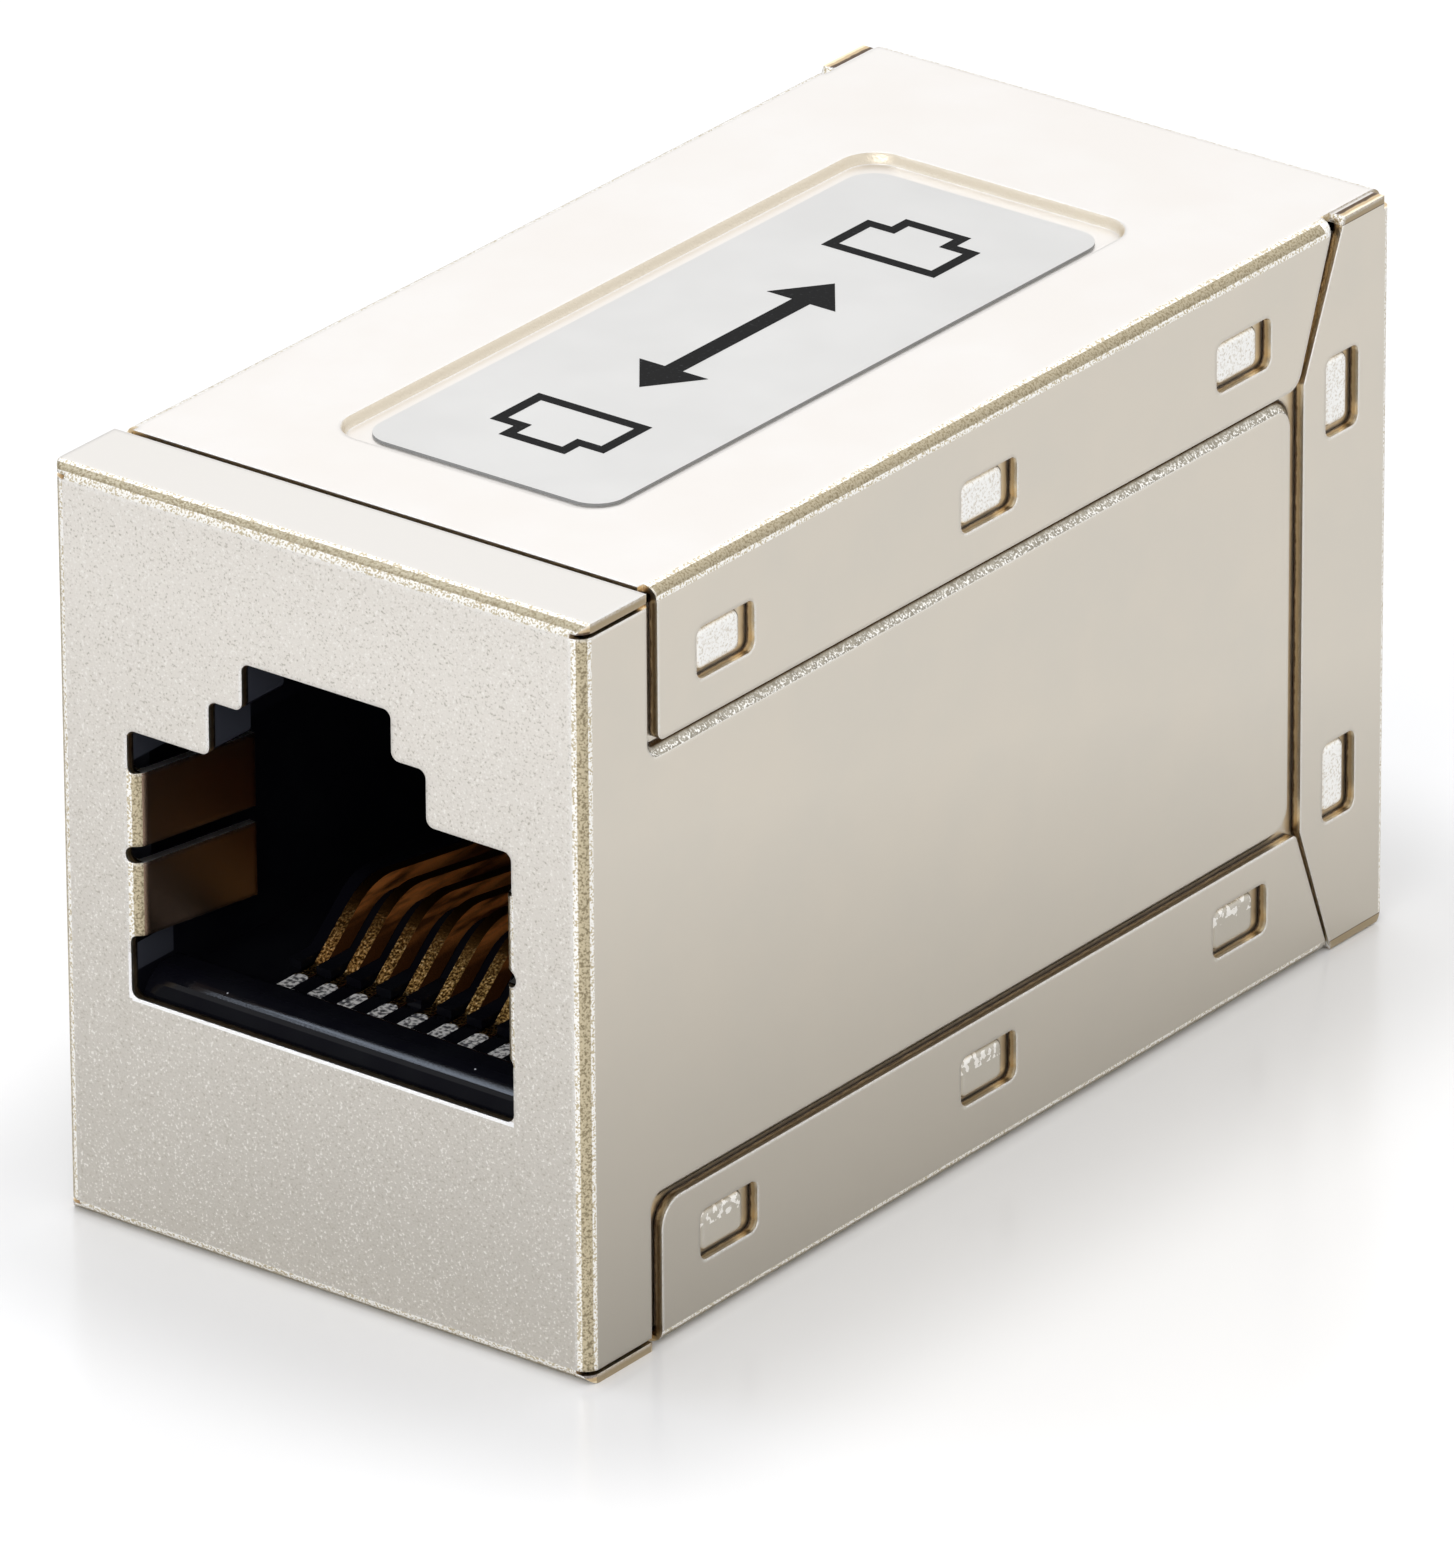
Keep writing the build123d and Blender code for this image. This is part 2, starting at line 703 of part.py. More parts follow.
# The jack at the rear is the front one turned round.
turned_parts = {
    "rear_jack_housing": front_jack_housing.part,
    "rear_contact_carrier": front_contact_carrier.part,
    "rear_solder_joints": front_solder_joints.part,
}
for number in contact_numbers:
    turned_parts[f"rear_contact_{number}"] = front_contacts[number - 1]
for name, front_part in turned_parts.items():
    rear_part = front_part.rotate(Axis.Z, 180)
    rear_part.label = name
    export_step(rear_part, f"parts/{name}.step")
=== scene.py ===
import math
import bmesh
import bpy
from mathutils import Matrix, Vector


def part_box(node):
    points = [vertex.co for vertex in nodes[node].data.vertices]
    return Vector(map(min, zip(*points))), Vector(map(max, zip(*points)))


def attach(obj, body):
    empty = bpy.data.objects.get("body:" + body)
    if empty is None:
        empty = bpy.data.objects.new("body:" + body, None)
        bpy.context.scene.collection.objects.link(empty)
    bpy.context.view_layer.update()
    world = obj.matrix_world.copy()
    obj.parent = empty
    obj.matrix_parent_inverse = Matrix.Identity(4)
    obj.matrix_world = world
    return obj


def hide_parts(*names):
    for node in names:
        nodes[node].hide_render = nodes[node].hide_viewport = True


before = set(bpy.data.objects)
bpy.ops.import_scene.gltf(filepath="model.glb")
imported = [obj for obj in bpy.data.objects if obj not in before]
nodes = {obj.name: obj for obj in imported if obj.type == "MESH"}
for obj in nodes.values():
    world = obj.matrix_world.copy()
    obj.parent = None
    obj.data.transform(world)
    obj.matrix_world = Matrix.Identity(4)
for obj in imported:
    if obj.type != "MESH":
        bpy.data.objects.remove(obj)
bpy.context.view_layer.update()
scene = bpy.context.scene
scene.view_settings.view_transform = "Standard"
print("frame loaded:", len(nodes), "nodes")

mm = 0.001
body = {"width": 17.7, "height": 21.9, "length": 35.95, "sheet": 0.27}  # in millimetres


def linear(hexColour):
    channels = [int(hexColour[i:i + 2], 16) / 255 for i in (1, 3, 5)]
    return tuple(c / 12.92 if c <= 0.04045 else ((c + 0.055) / 1.055) ** 2.4 for c in channels) + (1.0,)


# Adds a node with its settings and links, and returns the output named by out.
def addNode(tree, kind, inputs=None, out=0, **settings):
    node = tree.nodes.new("ShaderNode" + kind)
    for name, value in settings.items():
        setattr(node, name, value)
    for name, value in (inputs or {}).items():
        if isinstance(value, bpy.types.NodeSocket):
            tree.links.new(value, node.inputs[name])
        else:
            node.inputs[name].default_value = value
    return node.outputs[out] if len(node.outputs) else node


def newMaterial(name):
    material = bpy.data.materials.new(name)
    material.use_nodes = True
    material.node_tree.nodes.clear()
    return material, material.node_tree


def finishMaterial(tree, **inputs):
    sockets = {name.replace("_", " "): value for name, value in inputs.items()}
    shader = addNode(tree, "BsdfPrincipled", sockets)
    addNode(tree, "OutputMaterial", {"Surface": shader})


# Object coordinates in millimetres, whole and as x, y and z.
def placeInMm(tree):
    coords = addNode(tree, "TexCoord", out="Object")
    place = addNode(tree, "VectorMath", {0: coords, "Scale": 1 / mm}, operation="SCALE")
    return place, addNode(tree, "SeparateXYZ", {0: place}).node.outputs


# How squarely the surface faces x, y and z, each from 0 to 1.
def facing(tree):
    normal = addNode(tree, "TexCoord", out="Normal")
    size = addNode(tree, "VectorMath", {0: normal}, operation="ABSOLUTE")
    return addNode(tree, "SeparateXYZ", {0: size}).node.outputs


# 1 where every test holds. A test is a mask, a share of one, (socket, "above" or "below", limit),
# (socket, "within", (low, high)), or (socket, low, high) for a soft rise from low to high.
def allOf(tree, *tests):
    result = None
    for test in tests:
        if isinstance(test, tuple):
            socket, low, high = test
            if low == "within":
                test = allOf(tree, (socket, "above", high[0]), (socket, "below", high[1]))
            elif low in ("above", "below"):
                operation = "GREATER_THAN" if low == "above" else "LESS_THAN"
                test = addNode(tree, "Math", {0: socket, 1: high}, operation=operation)
            else:
                test = addNode(tree, "MapRange", {"Value": socket, "From Min": low, "From Max": high})
        result = test if result is None else addNode(tree, "Math", {0: result, 1: test}, operation="MULTIPLY")
    return result


def anyOf(tree, *masks):
    result = masks[0]
    for mask in masks[1:]:
        result = addNode(tree, "Math", {0: result, 1: mask}, operation="MAXIMUM")
    return result


# Lays colours over a first one, each where its test holds.
def layColours(tree, first, *layers):
    first = linear(first) if isinstance(first, str) else first
    for test, colour in layers:
        colour = linear(colour) if isinstance(colour, str) else colour
        inputs = {"Factor": allOf(tree, test), 6: first, 7: colour}
        first = addNode(tree, "Mix", inputs, out=2, data_type="RGBA")
    return first


def layValues(tree, first, *layers):
    for test, value in layers:
        first = addNode(tree, "Mix", {"Factor": allOf(tree, test), 2: first, 3: value}, data_type="FLOAT")
    return first


# Where the shells' features lie, in millimetres from the middle in x and y and from the floor in z.
# Pairs are ranges, and the facings run from 0 edge on to 1 square on.
shellPlaces = {
    "endSlack": 0.01,
    "plateSlack": 0.02,
    "skin": 0.03,
    "wall": 8.2,  # side walls and flaps lie beyond this
    "outer": 8.5,
    "edgeOn": 0.25,  # most that a cut face leans towards the sheet's own direction
    "squareOn": 0.98,
    "flat": 0.985,
    "sideFacing": 0.9,
    "foldFrom": (0.992, 0.985),
    "foldShadeFrom": (0.915, 0.895),
    "foldShadeShift": 0.22,  # moves the painted tan shade towards the end faces on the folds of the plates
    "upFacing": 0.3,
    "tabs": (8.0, 14.5),
    "tabsAcross": 6.7,
    "tabsDepth": 0.22,
    "tabFacing": 0.86,
    "slopeEnd": 17.45,
    "slopeMargin": 0.5,
    "slopeRootShadow": (8.68, 8.64),
    "slopeSpecks": (8.66, 8.78),
    "fieldAcross": 6.0,
    "fieldAlong": 14.0,
    "fieldDrop": 0.05,
    "fieldFacing": 0.97,
    "lips": 15.3,
    "mouthLineAcross": 6.42,
    "mouthLineBelow": (6.90, 7.05),
    "mouthLineBeside": (6.40, 6.52),
    "mouthLineRise": (6.96, 8.3),
    "lowRow": (1.8, 3.3),
    "highRow": (18.7, 20.2),
    "rowsEnd": 14.0,
    "rearRow": (14.85, 16.15),
    "catch": (8.60, 8.845),
    "catchFacing": 0.3,
    "lowCatches": 4.0,
    "glintBlobs": (2.7, 4.0),
    "sideShadeRange": (12.0, -3.0),
    "sideShadeAlong": 0.2,  # share of y that is added to the height
    "endsShadeRange": (19.0, 2.0),
}

# Nickel plated brass sheet, blanked and folded. The plates and sides are a soft even satin and the two
# ends are blasted, with painted glints on their grit. The folds have a real peel under painted light: a
# tan band of painted shade between two lines of painted highlight. The cut edges show golden brass, and
# a line of painted highlight runs along the rolled edges. Painted shade darkens the sides and ends towards
# the table, the lip tops at the front, the joggle slopes, the walls of the label field and the low row and
# rear flanks of the catches, and painted highlight brightens the catches. Grit and peel are drawn coarser
# than they are, so that they show.
shellFinish = {
    "plain": "#E5E2DF",
    "plainCloud": "#E3DFDB",
    "lipTopShade": "#DAD7D3",
    "side": "#DCD5C8",
    "sideCloud": "#DFD7C9",
    "sideShade": "#B1ABA0",
    "ends": "#E8E3DB",
    "endsLowShade": "#CCC7BE",
    "endsShade": "#BDB7AC",
    "endsGlint": "#F8F5EF",
    "foldShadeTan": "#C9BC9F",
    "foldShadeUp": "#B3A890",
    "foldDark": "#8E8268",
    "foldHighlight": "#FFFDF8",
    "slope": "#AEA89B",
    "slopeDark": "#989285",
    "slopeRootShadow": "#3E2D17",
    "catch": "#FFFEFA",
    "catchLowShade": "#C4BEB2",
    "catchFlankShade": "#8E887A",
    "fieldRimShade": "#DED3C0",
    "cut": "#CDB48C",
    "cutLight": "#F6E6C4",
    "cutDark": "#50391F",
    "lipEnd": "#A8977A",
    "tab": "#A08775",
    "edgeHighlight": "#FFFFFF",
    "gritMm": 0.075,
    "peelMm": 0.065,
    "rippleMm": 0.25,
    "cloudMm": 3.33,
    "smearMm": 0.91,
    "reliefMm": 0.018,
    "burrMm": 0.19,
    "burrSamples": 3,
    # Where the patterns set in, as parts of their noise
    "cloudRange": (0.35, 0.65),
    "smearRange": (0.5, 0.75),
    "smearShare": 0.5,
    "glintRange": (0.60, 0.67),
    "glintShare": 0.7,
    "shadeRange": (0.42, 0.28),
    "brightRange": (0.42, 0.52),
    "foldDarkRange": (0.54, 0.38),
    "speckRange": (0.5, 0.6),
    "slopeRange": (0.4, 0.6),
    "catchRange": (0.52, 0.30),
    "glintBlobsFrom": 0.52,
    "edgeHighlightGrain": (0.36, 0.5),
    "edgeHighlightThin": 0.3,
    "edgeHighlightShaded": 0.1,
    # Depths in the sheet, in millimetres
    "tornRange": (0.24, 0.28),
    "shearedRange": (0.16, 0.11),
    "tornWave": 0.1,
    # How far the eased edge tilts, plain and on the ends, and the tilt towards the light
    "edgeTilt": (0.42, 0.56),
    "endTilt": (0.05, 0.12),
    "litRange": (-0.05, 0.15),
    "litFrom": (1.0, -1.0, 1.0),
    "relief": 0.03,
    "endsRelief": 0.95,
    "foldRelief": 0.9,
    "catchRelief": 0.5,
    "tabRelief": 0.1,
    "roughness": 0.34,
    "endsRoughness": 0.4,
    "foldRoughness": 0.3,
    "tabRoughness": 0.25,
    "cutRoughness": 0.3,
}


def satinNickel(name):
    finish, at = shellFinish, shellPlaces
    material, tree = newMaterial(name)
    place, (x, y, z) = placeInMm(tree)
    nx, ny, nz = facing(tree)
    flattest = anyOf(tree, nx, ny, nz)
    acrossX = addNode(tree, "Math", {0: x}, operation="ABSOLUTE")
    alongY = addNode(tree, "Math", {0: y}, operation="ABSOLUTE")
    offMiddle = addNode(tree, "Math", {0: z, 1: body["height"] / 2}, operation="SUBTRACT")
    offMiddle = addNode(tree, "Math", {0: offMiddle}, operation="ABSOLUTE")
    endY = body["length"] / 2 - body["sheet"] - at["endSlack"]
    topZ = body["height"] - body["sheet"] - at["plateSlack"]
    lowZ = body["sheet"] + at["plateSlack"]
    cut = anyOf(
        tree,
        allOf(tree, (z, "above", topZ), (nz, "below", at["edgeOn"])),
        allOf(tree, (z, "below", lowZ), (nz, "below", at["edgeOn"])),
        allOf(tree, (alongY, "above", endY), (ny, "below", at["edgeOn"])),
        allOf(tree, (acrossX, "above", at["wall"]), (nx, "below", at["edgeOn"]), (alongY, "below", endY),
              (z, "within", (lowZ, topZ))),
        allOf(tree, (acrossX, "above", at["outer"]), (nz, "above", at["squareOn"]),
              (z, "within", (at["skin"], body["height"] - at["skin"]))),
    )
    # Folds: painted highlight where they leave the flat sheet, painted shade in tan between, darker where the
    # fold faces up; the peel grain under them is real
    raisedY = addNode(tree, "Math", {0: nz, 1: at["foldShadeShift"], 2: 1.0}, operation="MULTIPLY_ADD")
    foldY = addNode(tree, "Math", {0: ny, 1: raisedY}, operation="MULTIPLY")
    fold = allOf(tree, (flattest, *at["foldFrom"]))
    tan = allOf(tree, (anyOf(tree, nx, foldY, nz), *at["foldShadeFrom"]))
    ends = allOf(tree, (ny, "above", at["flat"]), (alongY, "above", endY))
    tabFace = allOf(tree, (acrossX, "below", at["tabsAcross"]), (alongY, "below", endY + at["tabsDepth"]),
                    (z, "within", at["tabs"]), (nx, "above", at["tabFacing"]))
    slope = allOf(tree, (acrossX, "above", at["outer"]), (alongY, "below", at["slopeEnd"]),
                  (z, "within", (at["slopeMargin"], body["height"] - at["slopeMargin"])),
                  (flattest, "below", at["flat"]))
    # Painted shade on the sloping walls of the sunk label field
    fieldRimShade = allOf(tree, (acrossX, "below", at["fieldAcross"]), (z, "above", topZ - at["fieldDrop"]),
                     (nz, "below", at["fieldFacing"]), (alongY, "below", at["fieldAlong"]))
    # Painted shade: the lip tops at the front end are darkened
    lipTopShade = allOf(tree, (z, "above", topZ), (y, "below", -at["lips"]))
    lipEnd = allOf(tree, (acrossX, "above", at["wall"]), (alongY, "above", at["lips"]),
                   (nz, "below", at["edgeOn"]), (ny, "below", at["edgeOn"]),
                   (offMiddle, "above", body["height"] / 2 - body["sheet"]))
    # Painted highlight: a bright line below the mouth and at its left side, where the rolled edge faces the
    # light, seen from either end
    handed = addNode(tree, "Math", {0: y}, operation="SIGN")
    leftward = addNode(tree, "Math", {0: x, 1: handed}, operation="MULTIPLY")
    mouthHighlight = anyOf(
        tree,
        allOf(tree, ends, (acrossX, "below", at["mouthLineAcross"]), (z, "within", at["mouthLineBelow"])),
        allOf(tree, ends, (leftward, "within", at["mouthLineBeside"]), (z, "within", at["mouthLineRise"])),
    )
    # Patterns
    grit = addNode(tree, "TexNoise", {"Vector": place, "Scale": 1 / finish["gritMm"], "Detail": 2.5})
    peel = addNode(tree, "TexNoise", {"Vector": place, "Scale": 1 / finish["peelMm"], "Detail": 2.0})
    ripple = addNode(tree, "TexNoise", {"Vector": place, "Scale": 1 / finish["rippleMm"], "Detail": 3.0})
    cloud = addNode(tree, "TexNoise", {"Vector": place, "Scale": 1 / finish["cloudMm"], "Detail": 2.0})
    smear = addNode(tree, "TexNoise", {
        "Vector": place, "Scale": 1 / finish["smearMm"], "Detail": 4.0, "Roughness": 0.7})
    clouded = allOf(tree, (cloud, *finish["cloudRange"]))
    smeared = allOf(tree, (smear, *finish["smearRange"]), finish["smearShare"])
    # Painted glints: bright specks standing in for light caught by the blasted grit
    glintSpots = allOf(tree, (grit, *finish["glintRange"]), finish["glintShare"])
    plain = layColours(
        tree, finish["plain"],
        (clouded, finish["plainCloud"]),
        (smeared, finish["plainCloud"]),
        (lipTopShade, finish["lipTopShade"]))
    # Painted shade: the sides are darkened towards the table and the front
    sideShadeHeight = addNode(tree, "Math", {0: y, 1: at["sideShadeAlong"], 2: z}, operation="MULTIPLY_ADD")
    sides = layColours(
        tree, finish["side"],
        (clouded, finish["sideCloud"]),
        (smeared, finish["sideCloud"]),
        ((sideShadeHeight, *at["sideShadeRange"]), finish["sideShade"]))
    # Painted shade: the blasted ends are darkened towards the table
    blasted = layColours(
        tree, finish["ends"],
        ((z, *at["endsShadeRange"]), finish["endsLowShade"]),
        ((grit, *finish["shadeRange"]), finish["endsShade"]),
        (glintSpots, finish["endsGlint"]))
    foldShadeTan = layColours(
        tree, finish["foldShadeTan"],
        ((nz, "above", at["upFacing"]), finish["foldShadeUp"]),
        ((peel, *finish["foldDarkRange"]), finish["foldDark"]))
    foldPaintedLight = layColours(
        tree, finish["foldShadeTan"],
        ((peel, *finish["brightRange"]), finish["foldHighlight"]),
        (tan, foldShadeTan))
    # Painted shade on the joggle slope below each flap, with painted glints and a painted shadow line at its
    # root under the flap's edge
    specks = allOf(tree, (acrossX, *at["slopeSpecks"]), (peel, *finish["speckRange"]))
    slopePaintedShade = layColours(
        tree, finish["slope"],
        ((ripple, *finish["slopeRange"]), finish["slopeDark"]),
        (specks, finish["foldHighlight"]),
        ((acrossX, *at["slopeRootShadow"]), finish["slopeRootShadow"]))
    # A cut edge is sheared bright near the outer face and torn dark below. A cut face's own
    # direction is pushed out of reach, so that only the depth in its sheet counts.
    depths = [
        addNode(tree, "Math", {0: body["width"] / 2, 1: acrossX}, operation="SUBTRACT"),
        addNode(tree, "Math", {0: body["length"] / 2, 1: alongY}, operation="SUBTRACT"),
        addNode(tree, "Math", {0: body["height"], 1: z}, operation="SUBTRACT"),
        z,
    ]
    depths = [addNode(tree, "Math", {0: a, 1: b}) for a, b in zip(depths, (nx, ny, nz, nz))]
    depth = depths[0]
    for other in depths[1:]:
        depth = addNode(tree, "Math", {0: depth, 1: other}, operation="MINIMUM")
    torn = addNode(tree, "Math", {0: ripple, 1: finish["tornWave"], 2: depth}, operation="MULTIPLY_ADD")
    cutColour = layColours(
        tree, finish["cut"],
        ((torn, *finish["tornRange"]), finish["cutDark"]),
        ((torn, *finish["shearedRange"]), finish["cutLight"]))
    # Catches are pushed out rough. Their near white is painted highlight, with painted glints on the low
    # ones, painted shade over the low row and painted shade on the flank to the rear
    normal = addNode(tree, "TexCoord", out="Normal")
    backward = addNode(
        tree, "VectorMath", {0: normal, 1: (0.0, 1.0, 0.0)}, out="Value", operation="DOT_PRODUCT")
    inRows = anyOf(
        tree,
        allOf(tree, (z, "within", at["highRow"]), (alongY, "below", at["rowsEnd"])),
        allOf(tree, (z, "within", at["lowRow"]), (alongY, "below", at["rowsEnd"])),
        allOf(tree, (y, "within", at["rearRow"])),
    )
    pushed = allOf(tree, inRows, (acrossX, "within", at["catch"]), (nx, "above", at["catchFacing"]))
    glintBlobs = allOf(tree, (z, "within", at["glintBlobs"]), (ripple, "above", finish["glintBlobsFrom"]))
    catch = layColours(
        tree, finish["catch"],
        ((grit, *finish["catchRange"]), finish["side"]),
        ((z, "below", at["lowCatches"]), finish["catchLowShade"]),
        (glintBlobs, finish["endsGlint"]),
        ((backward, "above", at["catchFacing"]), finish["catchFlankShade"]))
    # Painted highlight: a white line where the rolled edge tilts towards the light, on the sides that face
    # up, forward or right
    soft = addNode(tree, "Bevel", {"Radius": finish["burrMm"] * mm}, samples=finish["burrSamples"])
    true = addNode(tree, "NewGeometry", out="True Normal")
    tilt = addNode(tree, "VectorMath", {0: soft, 1: true}, operation="SUBTRACT")
    tiltSize = addNode(tree, "VectorMath", {0: tilt}, out="Value", operation="LENGTH")
    lit = addNode(tree, "VectorMath", {0: tilt, 1: finish["litFrom"]}, out="Value", operation="DOT_PRODUCT")
    edge = layValues(tree, allOf(tree, (tiltSize, *finish["edgeTilt"])),
                     (ends, allOf(tree, (tiltSize, *finish["endTilt"]))))
    litLow, litHigh = finish["litRange"]
    catching = addNode(tree, "MapRange", {
        "Value": lit, "From Min": litLow, "From Max": litHigh, "To Min": finish["edgeHighlightShaded"]})
    grainLow, grainHigh = finish["edgeHighlightGrain"]
    grainy = addNode(tree, "MapRange", {
        "Value": peel, "From Min": grainLow, "From Max": grainHigh, "To Min": finish["edgeHighlightThin"]})
    colour = layColours(
        tree, plain,
        ((nx, "above", at["sideFacing"]), sides),
        (ends, blasted),
        (fold, foldPaintedLight),
        (slope, slopePaintedShade),
        (pushed, catch),
        (fieldRimShade, finish["fieldRimShade"]),
        (tabFace, finish["tab"]),
        (cut, cutColour),
        (lipEnd, finish["lipEnd"]),
        (allOf(tree, edge, catching, grainy), finish["edgeHighlight"]),
        (mouthHighlight, finish["edgeHighlight"]))
    # Relief: grit on the ends, peel on the folds, almost none on the satin plates and sides
    relief = layValues(
        tree, finish["relief"], (ends, finish["endsRelief"]), (fold, finish["foldRelief"]),
        (pushed, finish["catchRelief"]), (tabFace, finish["tabRelief"]))
    height = layValues(tree, grit, (fold, peel))
    eased = addNode(tree, "Mix", {"Factor": cut, 4: soft, 5: true}, out=1, data_type="VECTOR")
    bump = addNode(tree, "Bump", {
        "Strength": relief, "Distance": finish["reliefMm"] * mm, "Height": height, "Normal": eased})
    rough = layValues(
        tree, finish["roughness"], (ends, finish["endsRoughness"]), (fold, finish["foldRoughness"]),
        (tabFace, finish["tabRoughness"]), (cut, finish["cutRoughness"]))
    finishMaterial(tree, Base_Color=colour, Metallic=1.0, Roughness=rough, Normal=bump)
    return material


# PBT, moulded and polished: near black, with a crisp blue sheen where the bar is rounded and a few
# bright specks of dust, and painted light on the walls just inside the mouth. Its grit is drawn
# coarser than it is.
mouldedFinish = {
    "colour": "#0C0C12",
    "worn": "#111216",
    "litRim": "#34363E",  # painted light on the walls just inside the mouth, where the front lamp reaches them
    "dust": "#D8DCE4",
    "gritMm": 0.09,
    "flowMm": 1.43,
    "dustMm": 0.9,
    "reliefMm": 0.005,
    "relief": 0.12,
    "dustRange": (0.06, 0.05),
    "wornRange": (0.4, 0.7),
    "gloss": 0.04,
    "crestGloss": 0.17,
    # Places in millimetres from the middle, and from the floor
    "barFrom": 15.7,
    "barTop": 7.7,
    "rimFrom": 16.2,
    "rimFacing": 0.9,
    "crestFacing": (0.70, 0.9),
}


def mouldedPbt(name, roughness):
    finish = mouldedFinish
    material, tree = newMaterial(name)
    place, (x, y, z) = placeInMm(tree)
    nx, ny, nz = facing(tree)
    fromMiddle = addNode(tree, "Math", {0: y}, operation="ABSOLUTE")
    grit = addNode(tree, "TexNoise", {"Vector": place, "Scale": 1 / finish["gritMm"], "Detail": 2.0})
    flow = addNode(tree, "TexNoise", {"Vector": place, "Scale": 1 / finish["flowMm"], "Detail": 3.0})
    spots = addNode(tree, "TexVoronoi", {"Vector": place, "Scale": 1 / finish["dustMm"]}, out="Distance")
    onBar = allOf(tree, (fromMiddle, "above", finish["barFrom"]), (z, "below", finish["barTop"]))
    litRim = allOf(tree, (fromMiddle, "above", finish["rimFrom"]), (z, "above", finish["barTop"]),
                (nx, "above", finish["rimFacing"]))
    crest = allOf(tree, onBar, (nz, "within", finish["crestFacing"]))
    colour = layColours(
        tree, finish["colour"],
        ((flow, *finish["wornRange"]), finish["worn"]),
        (litRim, finish["litRim"]),
        (allOf(tree, (spots, *finish["dustRange"]), onBar), finish["dust"]))
    # Plugs have polished the crest of the bar
    gleam = layValues(tree, finish["gloss"], (crest, finish["crestGloss"]))
    bump = addNode(tree, "Bump", {
        "Strength": finish["relief"], "Distance": finish["reliefMm"] * mm, "Height": grit})
    finishMaterial(tree, Base_Color=colour, Roughness=roughness, Specular_IOR_Level=gleam, Normal=bump)
    return material


# Phosphor bronze, stamped: gold plated and rough on the working edge, brown on the flanks with a
# painted copper sheen in streaks on the arch, and dipped in tin that has set in crinkles at the foot
# and tail. Grain and crinkles are drawn coarser than they are, so that they show.
contactFinish = {
    "gold": "#B8945A",
    "goldDark": "#4A3416",
    "goldLight": "#FFE2A8",
    "archTop": "#6B4A24",
    "bronze": "#F0964C",
    "bronzeDark": "#5E3618",
    "tin": "#FFFFFF",
    "tinDark": "#4E5056",
    "grainMm": 0.07,
    "crinkleMm": 0.13,
    "streakMm": 0.5,
    "streakStretch": (1.0, 0.25, 1.6),
    "reliefMm": 0.02,
    "relief": 0.9,
    "goldDarkRange": (0.56, 0.42),
    "goldLightRange": (0.6, 0.68),
    "streakRange": (0.38, 0.60),
    "tinDarkRange": (0.56, 0.40),
    "metallic": 1.0,
    "flankMetallic": 0.3,
    "tinMetallic": 0.15,
    "roughness": 0.36,
    "tinRoughness": 0.42,
    # Places in millimetres: heights from the floor, the others from the middle
    "pitch": 1.016,
    "arch": (7.8, 8.4),  # heights where the gold stops and the arch begins
    "footEnd": 14.5,  # where the round end of a tinned foot begins
    "footHalf": 0.24,
    "footReach": 1.1,
    "tailEnd": 1.6,
    "flankFacing": 0.6,
}


